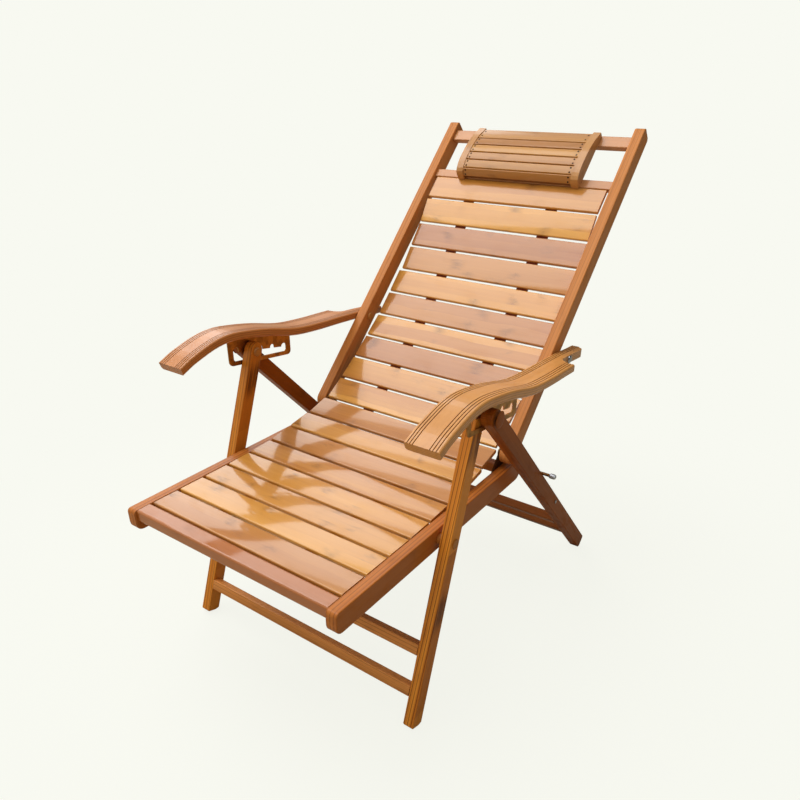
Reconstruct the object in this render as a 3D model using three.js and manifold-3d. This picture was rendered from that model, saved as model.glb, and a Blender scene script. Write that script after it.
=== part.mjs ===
import * as THREE from 'three';
import { mergeVertices } from 'three/addons/utils/BufferGeometryUtils.js';
import Module from 'manifold-3d';

const wasm = await Module();
wasm.setup();

// Folding recliner in varnished bamboo, in millimetres.
// X runs across the chair, Y from the front edge of the seat to the back, Z up from the floor.

// Pivots, seen from the side as (y, z)
const legPivot = [214, 568];
const seatPivot = [137, 348];
const backPivot = [409.6, 395];
const armPivot = [570.8, 557.7];
const frontFoot = [16, 5.5];
const rearFoot = [747.5, 12];

// Bars
const legWidth = 22;
const legDepth = 32;
const rearLegWidth = 23;
const legTopRadius = 20;
const frontFootOverrun = 3.5;
const rearFootOverrun = 6;
const seatRailWidth = 22;
const backRailWidth = 23;
const seatRailDepth = 44;
const backRailDepth = 38;
const crossbarHeight = 22;
const crossbarDepth = 20;
const crossbarForward = 6;
const bevel = 1.6;
const footChamfer = 3;
const railChamfer = 5;
const fit = 0.3;

// Half spans across the chair, taken at the floor for the legs
const frontLegInner = 268;
const frontLegLean = -0.024;
const rearLegInner = 288;
const rearLegLean = -0.009;
const seatRailInner = 228;
const backRailInner = 230;
const backRailLean = -0.0138;
const armInner = 252;
const armWidth = 64;

// Crossbars of the leg frames, measured up the leg from the foot
const frontCrossbarRises = [66, 150];
const rearCrossbarRises = [117, 192];

// Seat frame
const seatFrontY = -153;
const seatRearY = 457;
const seatTopZ = 375;
const seatFall = 0.01475;
const frontBarDepth = 33;
const frontBarHeight = 24;
const frontBarInset = 5;
const rearBarCentre = [428, 347];

// Slat sheet: a flat seat that rises into a hollow back, as (y, z) on its upper face
const sheetLine = [
  [-114, 374.4], [-20, 372.8], [79, 371.4], [145, 373], [208, 376], [270, 385], [339, 397],
  [402, 416], [451, 449], [504, 486], [559, 529], [608, 569], [651, 613], [695, 659],
  [730, 705], [770, 755], [802, 806], [853, 857],
];
const slatThickness = 9;
const slatGap = 6;
const slatCount = 18;
const slatDepth = 57.6;
const seatSlatCount = 7;
const seatSlatClearance = 1.5;
const cornerSlatClearance = 4;
const backSlatClearance = 10.5;
const seatSlatHalf = seatRailInner - seatSlatClearance;
const cornerSlatHalf = seatRailInner - cornerSlatClearance;
const backSlatHalf = backRailInner - backSlatClearance;
const slatEdgeRadius = 2.2;
const frontBarEdgeRadius = 4.4;

// Sprung strips that carry the slats
const stripCentre = 106;
const stripWidth = 27;
const stripThickness = 3;

// Back frame, its rails lying along a line through two points (y, z)
const backRailLine = [[397, 414], [943, 965]];
const backRailHeadSpace = 135.1087588;
const topRailDrop = 32.7;
const topRailHeight = 28;
const topRailThickness = 14;
const topRailRecess = 9.5;
const carrierRailHeight = 21;
const carrierRailThickness = 13;
const carrierGap = 1;

// Headrest, as (y, z) along the crown of its arch
const headrestLine = [
  [930, 951], [897, 937], [872, 921], [851, 903], [834, 885], [825, 864], [832, 850],
];
const headrestHalf = 153;
const headrestCheekWidth = 17;
const headrestSeatGap = 0.4;
const headrestSlatShares = [0.02, 0.27, 0.415, 0.56, 0.7, 0.84, 0.985];
const headrestSlatThickness = 6;
const headrestSlatGap = 0.8;

// Armrests, as (y, z) along the upper face
const armLine = [
  [15, 594], [44, 606], [71, 614], [99, 621], [127, 625], [156, 625], [199, 619],
  [254, 608], [318, 591], [348, 585], [413, 578], [488, 573], [563, 567], [624, 560.5], [652, 558],
];
const armThickness = 17;
const armChamfer = 3;
const armChamferShares = [0.4, 0.3];
const armStations = 44;
const cutterLow = 500;
const cutterHeight = 200;
const cutterOverrun = 10;
const innerGrooves = [6, 11, 16];
const outerGrooves = [7, 12.5, 18];
const grooveWidth = 1.8;
const grooveDepth = 1.2;
const tongueWidth = 30;
const tongueStartY = 515;
const tongueCurveLength = 24;
const tongueStep = 4;
const tongueTipRadius = 11;
const tongueTipInset = 6;

// Notched bracket plates
const plateInner = 278.4;
const plateThickness = 2.2;
const plateFrontY = 158;
const plateRearY = 340;
const plateCornerRadius = 12;
const windowFrontY = 171;
const windowRearY = 326;
const windowCorner = 4;
const slotFall = 0.22;
const slotTopRise = 7;
const toothDrop = 3;
const toothFall = 0.2;
const barFall = 0.14;
const barTopDrop = 20.4;
const barThickness = 9;
const slotPitch = 34.5;
const slotCount = 5;
const slotOfBolt = 1;
const slotWidth = 13;
const flangeWidth = 17;
const flangeThickness = 2.4;

// Bolts
const boltRadius = 5;
const headRadius = 9.5;
const headThickness = 3.6;
const seatNutThickness = 1.8;
const headChamfer = 1.2;
const headTopShare = 0.8;
const armNutRadius = 8;
const snugFit = 0.1;
const washerRadius = 11;
const boltStub = 1.2;
const roundSegments = 24;
const weldDistance = 1e-4;

// Hinge plates at the rear of the seat rails
const hingePlateThickness = 2.5;
const hingeEyeRadius = 15;
const hingeFootFrontY = 372;
const hingeFootDrop = 34;
const hingeFootInset = 4;
const pivotNutThickness = 2.4;

// Stop pins, on which the rear edges of the rear legs come to rest
const stopPinCentre = [449, 352];
const stopPinRadius = 3.2;
const stopPinBossRadius = 7;
const stopPinCapRadius = 5.3;
const stopPinCapStart = 318;
const stopPinCapLength = 15;
const stopPinCapRound = 3.4;

function varnishedBamboo(color) {
  return new THREE.MeshStandardMaterial({ color, roughness: 0.28, metalness: 0 });
}

function stampedBrass() {
  return new THREE.MeshStandardMaterial({ color: 0x7d6a33, roughness: 0.42, metalness: 0.85 });
}

function zincSteel() {
  return new THREE.MeshStandardMaterial({ color: 0xa9adb2, roughness: 0.32, metalness: 0.9 });
}

const frameColor = 0xa3592a;
const slatColors = [0xd9a273, 0xcf9070, 0xdba76c];
const legColor = 0x8f4a1f;
const armColor = 0xc98548;
const stripColor = 0x7a3316;

const chair = new THREE.Group();
chair.name = 'bamboo_folding_recliner';

function addPiece(name, geometry, material) {
  const mesh = new THREE.Mesh(geometry, material);
  mesh.name = name;
  chair.add(mesh);
  return mesh;
}

// Side outlines become solids by running them across the chair
function acrossChair(shape, xMin, xMax, edge) {
  const geometry = new THREE.ExtrudeGeometry(shape, {
    depth: xMax - xMin - 2 * edge,
    bevelEnabled: edge > 0,
    bevelThickness: edge,
    bevelSize: edge,
    bevelOffset: -edge,
    bevelSegments: 2,
    curveSegments: 10,
  });
  geometry.translate(0, 0, xMin + edge);
  const turn = new THREE.Matrix4().makeBasis(
    new THREE.Vector3(0, 1, 0),
    new THREE.Vector3(0, 0, 1),
    new THREE.Vector3(1, 0, 0),
  );
  return geometry.applyMatrix4(turn);
}

function leanSideways(geometry, slope, fromZ) {
  const position = geometry.attributes.position;
  for (let i = 0; i < position.count; i += 1) {
    const shift = slope * (position.getZ(i) - fromZ);
    position.setX(i, position.getX(i) + shift);
  }
  return geometry;
}

// The other side of the chair, with its faces turned to stay outward
function mirrored(geometry) {
  const copy = geometry.index ? geometry.toNonIndexed() : geometry.clone();
  const position = copy.attributes.position;
  for (let i = 0; i < position.count; i += 3) {
    const corner = [0, 1, 2].map((k) => new THREE.Vector3().fromBufferAttribute(position, i + k));
    position.setXYZ(i, -corner[0].x, corner[0].y, corner[0].z);
    position.setXYZ(i + 1, -corner[2].x, corner[2].y, corner[2].z);
    position.setXYZ(i + 2, -corner[1].x, corner[1].y, corner[1].z);
  }
  copy.computeVertexNormals();
  return copy;
}

function addPair(name, geometry, makeMaterial) {
  addPiece(`${name}_left`, geometry, makeMaterial());
  addPiece(`${name}_right`, mirrored(geometry), makeMaterial());
}

function toManifold(geometry) {
  const plain = geometry.clone();
  plain.deleteAttribute('normal');
  plain.deleteAttribute('uv');
  const merged = mergeVertices(plain, weldDistance);
  const mesh = new wasm.Mesh({
    numProp: 3,
    vertProperties: Float32Array.from(merged.attributes.position.array),
    triVerts: Uint32Array.from(merged.index.array),
  });
  return new wasm.Manifold(mesh);
}

function fromManifold(solid) {
  const mesh = solid.getMesh();
  const geometry = new THREE.BufferGeometry();
  geometry.setAttribute('position', new THREE.BufferAttribute(Float32Array.from(mesh.vertProperties), 3));
  geometry.setIndex(new THREE.BufferAttribute(Uint32Array.from(mesh.triVerts), 1));
  const flat = geometry.toNonIndexed();
  flat.computeVertexNormals();
  return flat;
}

function direction(from, to) {
  const length = Math.hypot(to[0] - from[0], to[1] - from[1]);
  return [(to[0] - from[0]) / length, (to[1] - from[1]) / length];
}

// A point reached by going along a bar's axis and then out to its rear face
function offsetPoint(origin, axis, along, out) {
  return [origin[0] + axis[0] * along + axis[1] * out, origin[1] + axis[1] * along - axis[0] * out];
}

function boltHole(centre, radius) {
  const hole = new THREE.Path();
  hole.absarc(centre[0], centre[1], radius, 0, 2 * Math.PI, true);
  return hole;
}

function polygon(points) {
  return new THREE.Shape(points.map((p) => new THREE.Vector2(p[0], p[1])));
}

// Straight bar with one round end about its pivot and one square end with cut corners
function roundEndedBar(pivot, farEnd, depth, radius, chamfer) {
  const axis = direction(pivot, farEnd);
  const length = Math.hypot(farEnd[0] - pivot[0], farEnd[1] - pivot[1]);
  const half = depth / 2;
  const points = [
    offsetPoint(pivot, axis, 0, half),
    offsetPoint(pivot, axis, length - chamfer, half),
    offsetPoint(pivot, axis, length, half - chamfer),
    offsetPoint(pivot, axis, length, chamfer - half),
    offsetPoint(pivot, axis, length - chamfer, -half),
    offsetPoint(pivot, axis, 0, -half),
  ];
  const steps = 12;
  for (let i = 1; i < steps; i += 1) {
    const angle = (Math.PI * i) / steps;
    const reach = radius * Math.sin(angle);
    points.push(offsetPoint(pivot, axis, -reach, -half * Math.cos(angle)));
  }
  return points;
}

// Feet are trimmed level so that they stand flat on the floor
function trimmedAtFloor(points) {
  const kept = [];
  points.forEach((here, i) => {
    const next = points[(i + 1) % points.length];
    if (here[1] >= 0) {
      kept.push(here);
    }
    if (here[1] * next[1] < 0) {
      const share = here[1] / (here[1] - next[1]);
      kept.push([here[0] + share * (next[0] - here[0]), 0]);
    }
  });
  return kept;
}

// Cross-members: a rounded rectangle turned to lie along a side-view axis
function memberSection(centre, axis, along, out, radius) {
  const points = [];
  const corners = [[1, 1], [-1, 1], [-1, -1], [1, -1]];
  const steps = 3;
  corners.forEach(([a, b], k) => {
    for (let i = 0; i <= steps; i += 1) {
      const angle = (k + i / steps) * (Math.PI / 2);
      const u = a * (along / 2 - radius) + radius * Math.cos(angle);
      const v = b * (out / 2 - radius) + radius * Math.sin(angle);
      points.push(offsetPoint(centre, axis, u, v));
    }
  });
  return polygon(points.reverse());
}

function pivotedCylinder(centre, radius, xMin, xMax) {
  const shape = new THREE.Shape();
  shape.absarc(centre[0], centre[1], radius, 0, 2 * Math.PI, false);
  const geometry = new THREE.ExtrudeGeometry(shape, {
    depth: xMax - xMin,
    bevelEnabled: false,
    curveSegments: roundSegments / 2,
  });
  geometry.translate(0, 0, xMin);
  const turn = new THREE.Matrix4().makeBasis(
    new THREE.Vector3(0, 1, 0),
    new THREE.Vector3(0, 0, 1),
    new THREE.Vector3(1, 0, 0),
  );
  return geometry.applyMatrix4(turn);
}

// Turned bolt: (radius, x) profile spun about a sideways axis
function turnedBolt(centre, profile) {
  const points = profile.map(([radius, x]) => new THREE.Vector2(radius, x));
  const geometry = new THREE.LatheGeometry(points, roundSegments);
  geometry.rotateZ(-Math.PI / 2);
  geometry.translate(0, centre[0], centre[1]);
  return geometry;
}

// Low round head whose underside bears at x, as the start of a bolt's profile
function boltHead(x) {
  return [
    [0, x - headThickness], [headRadius * headTopShare, x - headThickness],
    [headRadius, x - headChamfer], [headRadius, x], [boltRadius, x],
  ];
}

// Slat sheet
function sheetCurve() {
  const points = sheetLine.map(([y, z]) => new THREE.Vector3(0, y, z));
  return new THREE.CatmullRomCurve3(points, false, 'centripetal');
}

const sheet = sheetCurve();
sheet.arcLengthDivisions = 800;
const sheetLength = sheet.getLength();
const slatPitch = slatDepth + slatGap;
const slatLead = slatGap / 2;
const sheetUsed = slatLead + slatCount * slatPitch - slatGap;

function sheetPoint(run) {
  const point = sheet.getPointAt(THREE.MathUtils.clamp(run / sheetLength, 0, 1));
  return [point.y, point.z];
}

function slatSolid(run, depth, half) {
  const front = sheetPoint(run);
  const rear = sheetPoint(run + depth);
  const axis = direction(front, rear);
  const centre = [(front[0] + rear[0]) / 2, (front[1] + rear[1]) / 2];
  const lowered = offsetPoint(centre, axis, 0, slatThickness / 2);
  const span = Math.hypot(rear[0] - front[0], rear[1] - front[1]);
  const section = memberSection(lowered, axis, span, slatThickness, slatEdgeRadius);
  return acrossChair(section, -half, half, 0);
}

function buildSlats() {
  for (let i = 0; i < slatCount; i += 1) {
    const run = i * slatPitch + slatLead;
    let half = backSlatHalf;
    let name = `back_slat_${String(i - seatSlatCount).padStart(2, '0')}`;
    if (i < seatSlatCount) {
      half = seatSlatHalf;
      name = `seat_slat_${String(i + 1).padStart(2, '0')}`;
    } else if (i === seatSlatCount) {
      half = cornerSlatHalf;
      name = 'corner_slat';
    }
    const color = slatColors[i % slatColors.length];
    addPiece(name, slatSolid(run, slatDepth, half), varnishedBamboo(color));
  }
}

// Strips bend from slat to slat along the underside of the sheet
function stripSolid(firstSlat, lastSlat, lead, tail) {
  const upper = [];
  const lower = [];
  for (let i = firstSlat; i <= lastSlat; i += 1) {
    const start = i * slatPitch + slatLead;
    const front = sheetPoint(start);
    const rear = sheetPoint(start + slatDepth);
    const axis = direction(front, rear);
    const span = Math.hypot(rear[0] - front[0], rear[1] - front[1]);
    const from = i === firstSlat ? lead : 0;
    const to = i === lastSlat ? span - tail : span;
    [from, to].forEach((along) => {
      upper.push(offsetPoint(front, axis, along, slatThickness + fit));
      lower.push(offsetPoint(front, axis, along, slatThickness + fit + stripThickness));
    });
  }
  const outline = polygon([...lower, ...upper.reverse()]);
  return acrossChair(outline, stripCentre - stripWidth / 2, stripCentre + stripWidth / 2, 0);
}

function buildStrips() {
  const endInset = 2;
  const barRearY = seatFrontY + frontBarInset + frontBarDepth;
  const toFrontBar = barRearY + fit - sheetPoint(slatLead)[0];
  const toCarrier = fit - carrierGap;
  const color = () => varnishedBamboo(stripColor);
  addPair('seat_strip', stripSolid(0, seatSlatCount - 1, toFrontBar, endInset), color);
  addPair('back_strip', stripSolid(seatSlatCount, slatCount - 1, endInset, toCarrier), color);
}

// Seat frame
function seatTopAt(y) {
  return seatTopZ - seatFall * (y - seatFrontY);
}

function seatRailShape() {
  const noseTop = 9;
  const noseBottom = 17;
  const tail = 20;
  const shape = new THREE.Shape();
  const top = (y) => seatTopAt(y);
  const bottom = (y) => seatTopAt(y) - seatRailDepth;
  shape.moveTo(seatFrontY, top(seatFrontY) - noseTop);
  shape.lineTo(seatFrontY, bottom(seatFrontY) + noseBottom);
  const noseEnd = seatFrontY + noseBottom;
  shape.quadraticCurveTo(seatFrontY, bottom(seatFrontY), noseEnd, bottom(noseEnd));
  shape.lineTo(seatRearY - tail, bottom(seatRearY - tail));
  shape.quadraticCurveTo(seatRearY, bottom(seatRearY), seatRearY, bottom(seatRearY) + tail);
  shape.lineTo(seatRearY, top(seatRearY) - tail / 2);
  shape.quadraticCurveTo(seatRearY, top(seatRearY), seatRearY - tail / 2, top(seatRearY - tail / 2));
  shape.lineTo(seatFrontY + noseTop, top(seatFrontY + noseTop));
  shape.quadraticCurveTo(seatFrontY, top(seatFrontY), seatFrontY, top(seatFrontY) - noseTop);
  shape.holes.push(boltHole(seatPivot, boltRadius + fit));
  shape.holes.push(boltHole(stopPinCentre, stopPinRadius + fit));
  return shape;
}

function buildSeatFrame() {
  const wood = () => varnishedBamboo(frameColor);
  const seatRailOuter = seatRailInner + seatRailWidth;
  addPair('seat_rail', acrossChair(seatRailShape(), seatRailInner, seatRailOuter, bevel), wood);

  const barCentreY = seatFrontY + frontBarInset + frontBarDepth / 2;
  const barCentre = [barCentreY, seatTopAt(barCentreY) - frontBarHeight / 2];
  const axis = [1, -seatFall];
  const bar = memberSection(barCentre, axis, frontBarDepth, frontBarHeight, frontBarEdgeRadius);
  addPiece('seat_front_bar', acrossChair(bar, fit - seatRailInner, seatRailInner - fit, 0), wood());

  const rear = memberSection(rearBarCentre, axis, crossbarHeight, crossbarDepth, slatEdgeRadius);
  const rearHalf = seatRailInner - hingePlateThickness - 2 * fit;
  addPiece('seat_rear_bar', acrossChair(rear, -rearHalf, rearHalf, 0), wood());
}

// Steel plates that lift the back pivot above the seat rails and carry the stop pins
function hingePlateShape() {
  const footTop = (y) => seatTopAt(y) - hingeFootInset;
  const shape = new THREE.Shape();
  shape.moveTo(hingeFootFrontY, footTop(hingeFootFrontY) - hingeFootDrop);
  shape.lineTo(backPivot[0], footTop(backPivot[0]) - hingeFootDrop);
  shape.lineTo(stopPinCentre[0], stopPinCentre[1] - stopPinBossRadius);
  shape.absarc(stopPinCentre[0], stopPinCentre[1], stopPinBossRadius, -Math.PI / 2, Math.PI / 2, false);
  shape.lineTo(backPivot[0] + hingeEyeRadius, backPivot[1]);
  shape.absarc(backPivot[0], backPivot[1], hingeEyeRadius, 0, Math.PI, false);
  shape.lineTo(hingeFootFrontY, footTop(hingeFootFrontY));
  shape.closePath();
  shape.holes.push(boltHole(backPivot, boltRadius + fit));
  return shape;
}

function hingePlateSolid(plateMin, plateMax) {
  const plate = toManifold(acrossChair(hingePlateShape(), plateMin, plateMax, 0));
  const capEnd = stopPinCapStart + stopPinCapLength;
  const rod = toManifold(pivotedCylinder(stopPinCentre, stopPinRadius, plateMin, capEnd - stopPinCapRound));
  const capShape = new THREE.Shape();
  capShape.absarc(stopPinCentre[0], stopPinCentre[1], stopPinCapRadius, 0, 2 * Math.PI, false);
  const cap = toManifold(acrossChair(capShape, stopPinCapStart, capEnd, stopPinCapRound));
  return fromManifold(plate.add(rod).add(cap));
}

function buildHinge() {
  const plateMax = seatRailInner - fit;
  const plateMin = plateMax - hingePlateThickness;
  addPair('hinge_plate', hingePlateSolid(plateMin, plateMax), zincSteel);
  const headMax = plateMin - fit;
  const nutStart = backRailInner + backRailWidth + fit;
  const nutEnd = nutStart + pivotNutThickness;
  const profile = [
    ...boltHead(headMax), [boltRadius, nutStart],
    [headRadius, nutStart], [headRadius, nutEnd - pivotNutThickness / 2],
    [headRadius * headTopShare, nutEnd], [0, nutEnd],
  ];
  addPair('back_pivot_bolt', turnedBolt(backPivot, profile), zincSteel);
}

// Back frame
const backAxis = direction(backRailLine[0], backRailLine[1]);

function backPoint(along, out) {
  return offsetPoint(backPivot, backAxis, along, out);
}

// Distance up the back rails and out behind their axis
function backCoordinates(point) {
  const dy = point[0] - backPivot[0];
  const dz = point[1] - backPivot[1];
  return [dy * backAxis[0] + dz * backAxis[1], dy * backAxis[1] - dz * backAxis[0]];
}

// The back rails run on past the crossrail above the top slat by the headrest's space
const [slatEnd, slatFace] = backCoordinates(sheetPoint(sheetUsed));
const backRailLength = slatEnd + carrierGap + carrierRailHeight + backRailHeadSpace;

function buildBackFrame() {
  const wood = () => varnishedBamboo(frameColor);
  const farEnd = backPoint(backRailLength, 0);
  const shape = polygon(roundEndedBar(backPivot, farEnd, backRailDepth, backRailDepth / 2, railChamfer));
  shape.holes.push(boltHole(backPivot, boltRadius + fit));
  shape.holes.push(boltHole(armPivot, boltRadius + fit));
  const rail = acrossChair(shape, backRailInner, backRailInner + backRailWidth, bevel);
  addPair('back_rail', leanSideways(rail, backRailLean, backPivot[1]), wood);

  const topCentre = backPoint(
    backRailLength - topRailDrop,
    topRailRecess + topRailThickness / 2 - backRailDepth / 2,
  );
  const innerAt = (z) => backRailInner + backRailLean * (z - backPivot[1]) - fit;
  const topHalf = innerAt(topCentre[1] + topRailHeight);
  const top = memberSection(topCentre, backAxis, topRailHeight, topRailThickness, slatEdgeRadius);
  addPiece('back_top_rail', acrossChair(top, -topHalf, topHalf, 0), wood());

  const carrierCentre = backPoint(
    slatEnd + carrierGap + carrierRailHeight / 2,
    slatFace + carrierRailThickness / 2,
  );
  const carrierHalf = innerAt(carrierCentre[1] + carrierRailHeight);
  const carrierSize = [carrierRailHeight, carrierRailThickness];
  const carrier = memberSection(carrierCentre, backAxis, ...carrierSize, slatEdgeRadius);
  addPiece('back_carrier_rail', acrossChair(carrier, -carrierHalf, carrierHalf, 0), wood());
}

// Headrest: two arched cheeks and a fluted skin of narrow slats between them
function headrestCurve() {
  const points = headrestLine.map(([y, z]) => new THREE.Vector3(0, y, z));
  return new THREE.CatmullRomCurve3(points, false, 'centripetal');
}

function crownSample(curve, share, drop) {
  const here = curve.getPointAt(share);
  const ahead = curve.getTangentAt(share);
  const axis = [ahead.y, ahead.z];
  return offsetPoint([here.y, here.z], axis, 0, -drop);
}

// Arched side plate with a straight back edge against the top crossrail and the slat sheet
function headrestCheekShape(curve) {
  const crown = [];
  const stations = 20;
  const railFace = topRailRecess - backRailDepth / 2 - headrestSeatGap;
  for (let i = 0; i <= stations; i += 1) {
    crown.push(crownSample(curve, i / stations, 0));
  }
  const crownTop = backCoordinates(crown[0]);
  const crownFoot = backCoordinates(crown[stations]);
  const face = Math.min(railFace, slatFace - headrestSeatGap);
  const head = backPoint(crownTop[0] - headrestSeatGap, face);
  const foot = backPoint(crownFoot[0], face);
  return polygon([...crown, foot, head]);
}

function headrestSlatShape(curve, start, end) {
  const outer = [];
  const inner = [];
  const stations = 4;
  const trim = headrestSlatGap / 2 / curve.getLength();
  for (let i = 0; i <= stations; i += 1) {
    const share = start + trim + ((end - start - 2 * trim) * i) / stations;
    outer.push(crownSample(curve, share, 0));
    inner.push(crownSample(curve, share, headrestSlatThickness));
  }
  return polygon([...outer, ...inner.reverse()]);
}

function buildHeadrest() {
  const curve = headrestCurve();
  const cheekMin = headrestHalf - headrestCheekWidth;
  const cheek = acrossChair(headrestCheekShape(curve), cheekMin, headrestHalf, 0);
  addPair('headrest_cheek', cheek, () => varnishedBamboo(slatColors[0]));
  const slatHalf = cheekMin - fit;
  for (let i = 1; i < headrestSlatShares.length; i += 1) {
    const shape = headrestSlatShape(curve, headrestSlatShares[i - 1], headrestSlatShares[i]);
    const slat = acrossChair(shape, -slatHalf, slatHalf, 0);
    addPiece(`headrest_slat_${i}`, slat, varnishedBamboo(slatColors[2]));
  }
}

// Leg frames
function legOutline(foot, overrun) {
  const axis = direction(legPivot, foot);
  const sole = [foot[0] + axis[0] * overrun, foot[1] + axis[1] * overrun];
  return polygon(trimmedAtFloor(roundEndedBar(legPivot, sole, legDepth, legTopRadius, footChamfer)));
}

function buildFrontLegs() {
  const wood = () => varnishedBamboo(legColor);
  const shape = legOutline(frontFoot, frontFootOverrun);
  shape.holes.push(boltHole(legPivot, boltRadius + snugFit));
  shape.holes.push(boltHole(seatPivot, boltRadius + snugFit));
  const leg = acrossChair(shape, frontLegInner, frontLegInner + legWidth, bevel);
  addPair('front_leg', leanSideways(leg, frontLegLean, 0), wood);
  const axis = direction(frontFoot, legPivot);
  frontCrossbarRises.forEach((rise, i) => {
    const centre = offsetPoint(frontFoot, axis, rise, -crossbarForward);
    const half = frontLegInner + frontLegLean * (centre[1] + crossbarHeight) - fit;
    const section = memberSection(centre, axis, crossbarHeight, crossbarDepth, slatEdgeRadius);
    addPiece(`front_crossbar_${i + 1}`, acrossChair(section, -half, half, 0), wood());
  });
}

function buildRearLegs() {
  const wood = () => varnishedBamboo(legColor);
  const shape = legOutline(rearFoot, rearFootOverrun);
  shape.holes.push(boltHole(legPivot, boltRadius + snugFit));
  const leg = acrossChair(shape, rearLegInner, rearLegInner + rearLegWidth, bevel);
  addPair('rear_leg', leanSideways(leg, rearLegLean, 0), wood);
  const axis = direction(rearFoot, legPivot);
  rearCrossbarRises.forEach((rise, i) => {
    const centre = offsetPoint(rearFoot, axis, rise, -crossbarForward);
    const half = rearLegInner + rearLegLean * (centre[1] + crossbarHeight) - fit;
    const section = memberSection(centre, axis, crossbarHeight, crossbarDepth, slatEdgeRadius);
    addPiece(`rear_crossbar_${i + 1}`, acrossChair(section, -half, half, 0), wood());
  });
}

// The leg pivot bolt stops short of the bracket plate, whose row of slots moves past it
function buildLegBolts() {
  const innerFace = frontLegInner + frontLegLean * (legPivot[1] + headRadius) - fit;
  const outerFace = frontLegInner + legWidth + frontLegLean * (legPivot[1] + headRadius);
  const profile = [
    ...boltHead(innerFace),
    [boltRadius, outerFace + boltStub], [0, outerFace + boltStub],
  ];
  addPair('leg_bolt', turnedBolt(legPivot, profile), zincSteel);
}

function buildSeatBolts() {
  const legInner = frontLegInner + frontLegLean * (seatPivot[1] + washerRadius);
  const legOuter = frontLegInner + legWidth + frontLegLean * (seatPivot[1] - headRadius) + 2 * fit;
  const headX = seatRailInner - fit;
  const railOuter = seatRailInner + seatRailWidth + fit;
  const profile = [
    ...boltHead(headX), [boltRadius, railOuter],
    [washerRadius, railOuter], [washerRadius, legInner - 2 * fit], [boltRadius, legInner - 2 * fit],
    [boltRadius, legOuter], [headRadius, legOuter], [headRadius, legOuter + seatNutThickness / 2],
    [headRadius * headTopShare, legOuter + seatNutThickness], [0, legOuter + seatNutThickness],
  ];
  addPair('seat_bolt', turnedBolt(seatPivot, profile), zincSteel);
}

// Armrests
function armCurve() {
  const points = armLine.map(([y, z]) => new THREE.Vector3(0, y, z));
  return new THREE.CatmullRomCurve3(points, false, 'centripetal');
}

// Cross-section as (across, down) with fine grooves beside both edges
function armSection() {
  const [inShare, downShare] = armChamferShares;
  const section = [[0, armChamfer], [armChamfer * inShare, armChamfer * downShare], [armChamfer, 0]];
  const groove = (at) => [
    [at - grooveWidth / 2, 0], [at, grooveDepth], [at + grooveWidth / 2, 0],
  ];
  innerGrooves.forEach((at) => section.push(...groove(at)));
  [...outerGrooves].reverse().forEach((at) => section.push(...groove(armWidth - at)));
  section.push([armWidth - armChamfer, 0], [armWidth - armChamfer * inShare, armChamfer * downShare]);
  section.push([armWidth, armChamfer], [armWidth, armThickness - armChamfer]);
  section.push([armWidth - armChamfer, armThickness], [armChamfer, armThickness]);
  section.push([0, armThickness - armChamfer]);
  return section;
}

function loftAlong(curve, section, stations, place) {
  const positions = [];
  const rings = [];
  for (let i = 0; i <= stations; i += 1) {
    const share = i / stations;
    const here = curve.getPointAt(share);
    const ahead = curve.getTangentAt(share);
    rings.push(section.map((s) => place([here.y, here.z], [ahead.y, ahead.z], s)));
  }
  const triangle = (a, b, c) => positions.push(...a, ...b, ...c);
  const count = section.length;
  for (let i = 0; i < stations; i += 1) {
    for (let k = 0; k < count; k += 1) {
      const next = (k + 1) % count;
      triangle(rings[i][k], rings[i + 1][next], rings[i + 1][k]);
      triangle(rings[i][k], rings[i][next], rings[i + 1][next]);
    }
  }
  const flat = section.map((s) => new THREE.Vector2(s[0], -s[1]));
  THREE.ShapeUtils.triangulateShape(flat, []).forEach(([a, b, c]) => {
    triangle(rings[0][a], rings[0][b], rings[0][c]);
    triangle(rings[stations][a], rings[stations][c], rings[stations][b]);
  });
  const geometry = new THREE.BufferGeometry();
  geometry.setAttribute('position', new THREE.Float32BufferAttribute(positions, 3));
  return geometry;
}

function armTongueCutter() {
  const outer = armInner + armWidth + cutterOverrun;
  const tongue = armInner + tongueWidth;
  const farY = armLine[armLine.length - 1][0] + cutterOverrun;
  const shape = new THREE.Shape();
  shape.moveTo(outer, tongueStartY);
  shape.lineTo(outer, farY);
  shape.lineTo(tongue, farY);
  shape.lineTo(tongue, tongueStartY + tongueCurveLength);
  const steps = 8;
  for (let i = 1; i <= steps; i += 1) {
    const angle = (i / steps) * (Math.PI / 2);
    const reach = armWidth - tongueWidth - tongueStep;
    shape.lineTo(
      tongue + reach * (1 - Math.cos(angle)),
      tongueStartY + tongueCurveLength * (1 - Math.sin(angle)),
    );
  }
  shape.closePath();
  const geometry = new THREE.ExtrudeGeometry(shape, { depth: cutterHeight, bevelEnabled: false });
  geometry.translate(0, 0, cutterLow);
  return geometry;
}

// Rounds off the free end of the tongue in plan
function armTipCutter() {
  const tipY = armLine[armLine.length - 1][0] - tongueTipInset;
  const radius = tongueTipRadius;
  const tongue = armInner + tongueWidth;
  const shape = new THREE.Shape();
  shape.moveTo(tongue - radius, tipY);
  const steps = 6;
  for (let i = 1; i <= steps; i += 1) {
    const angle = (i / steps) * (Math.PI / 2);
    shape.lineTo(tongue - radius + radius * Math.sin(angle), tipY - radius + radius * Math.cos(angle));
  }
  shape.lineTo(tongue + cutterOverrun, tipY - radius);
  shape.lineTo(tongue + cutterOverrun, tipY + cutterOverrun);
  shape.lineTo(tongue - radius, tipY + cutterOverrun);
  shape.closePath();
  const geometry = new THREE.ExtrudeGeometry(shape, { depth: cutterHeight, bevelEnabled: false });
  geometry.translate(0, 0, cutterLow);
  return geometry;
}

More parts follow.
